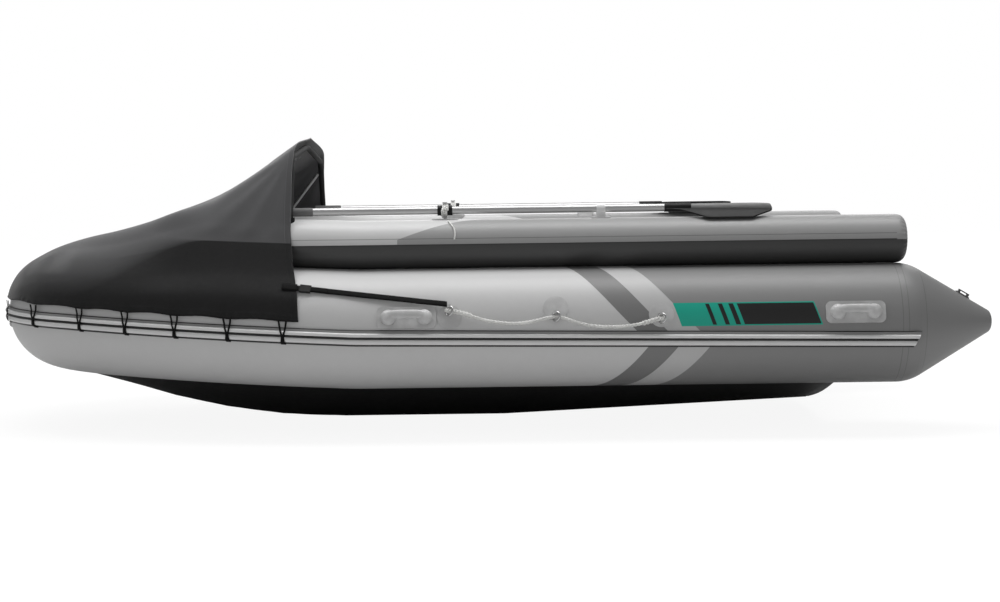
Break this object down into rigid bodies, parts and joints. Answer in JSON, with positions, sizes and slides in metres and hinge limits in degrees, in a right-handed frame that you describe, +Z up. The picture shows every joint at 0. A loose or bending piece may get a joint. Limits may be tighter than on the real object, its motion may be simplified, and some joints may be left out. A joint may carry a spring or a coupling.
{
  "type": "inflatable boat",
  "caption": "Inflatable boat with a V bottom, raised side tubes, laced bow hood, transom and oars stowed along the sides.",
  "frame": {"origin": "floor under the middle of the overall size, where the flat keel run stands", "axes": "+X to the bow, +Y to port, +Z up"},
  "size_m": [4.227, 2.0263, 1.2459],
  "materials": {
    "tube_fabric": "light grey coated fabric, satin",
    "dark_fabric": "dark grey coated fabric, satin",
    "bottom_fabric": "black coated fabric, satin",
    "strake_rubber": "grey and black ribbed rubber",
    "hood_cloth": "black woven cloth",
    "window_film": "clear film",
    "bare_aluminium": "satin",
    "dark_plastic": "black moulded plastic",
    "grey_plastic": "light grey moulded plastic",
    "white_cord": "white twisted rope",
    "webbing": "black webbing",
    "board": "grey painted plywood",
    "floor_board": "ribbed",
    "steel": "satin"
  },
  "bodies": {
    "hull": {"bench_aft": "board", "bench_fore": "board", "bench_holders": "dark_fabric", "bow_eye": "grey_plastic", "cone_loops": "grey_plastic", "cone_port": "dark_fabric", "cone_starboard": "dark_fabric", "cord_tail_port": "white_cord", "cord_tail_starboard": "white_cord", "floor_aft": "floor_board", "floor_bow": "floor_board", "floor_fore": "floor_board", "floor_mid": "floor_board", "grab_rings": "steel", "grab_rope_port": "white_cord", "grab_rope_starboard": "white_cord", "handle_grips": "grey_plastic", "handle_pads": "grey_plastic", "hood": "hood_cloth", "hood_arch": "bare_aluminium", "hood_feet": "dark_plastic", "hood_loops": "webbing", "hood_straps": "webbing", "hood_struts": "bare_aluminium", "hood_window": "window_film", "hull_bottom": "bottom_fabric", "keel_guard": "strake_rubber", "motor_pad_inner": "dark_plastic", "motor_pad_outer": "dark_plastic", "oar_clips": "grey_plastic", "ring_patches": "grey_plastic", "rowlock_port": "dark_plastic", "rowlock_starboard": "dark_plastic", "strake_bow": "strake_rubber", "strake_port": "strake_rubber", "strake_starboard": "strake_rubber", "strap_buckles": "dark_plastic", "transom": "board", "transom_holders": "dark_fabric", "tube_bow": "tube_fabric", "tube_port": "tube_fabric", "tube_starboard": "tube_fabric", "upper_fore_port": "tube_fabric", "upper_fore_starboard": "tube_fabric", "upper_tube_port": "tube_fabric", "upper_tube_starboard": "tube_fabric", "valves": "dark_plastic"},
    "oar_port": {"oar_shaft_port": "bare_aluminium", "oar_grip_port": "dark_plastic", "oar_collar_port": "dark_plastic", "oar_blade_port": "dark_plastic"},
    "oar_starboard": {"oar_shaft_starboard": "bare_aluminium", "oar_grip_starboard": "dark_plastic", "oar_collar_starboard": "dark_plastic", "oar_blade_starboard": "dark_plastic"}
  },
  "joints": [
    {"name": "oar_port_swing", "type": "hinge", "parent": "hull", "child": "oar_port", "pos_m": [0.12544, 0.68, 0.92002], "axis": [0, 0, -1], "range_deg": [0, 100]},
    {"name": "oar_starboard_swing", "type": "hinge", "parent": "hull", "child": "oar_starboard", "pos_m": [0.12544, -0.68, 0.92002], "axis": [0, 0, 1], "range_deg": [0, 100]}
  ]
}
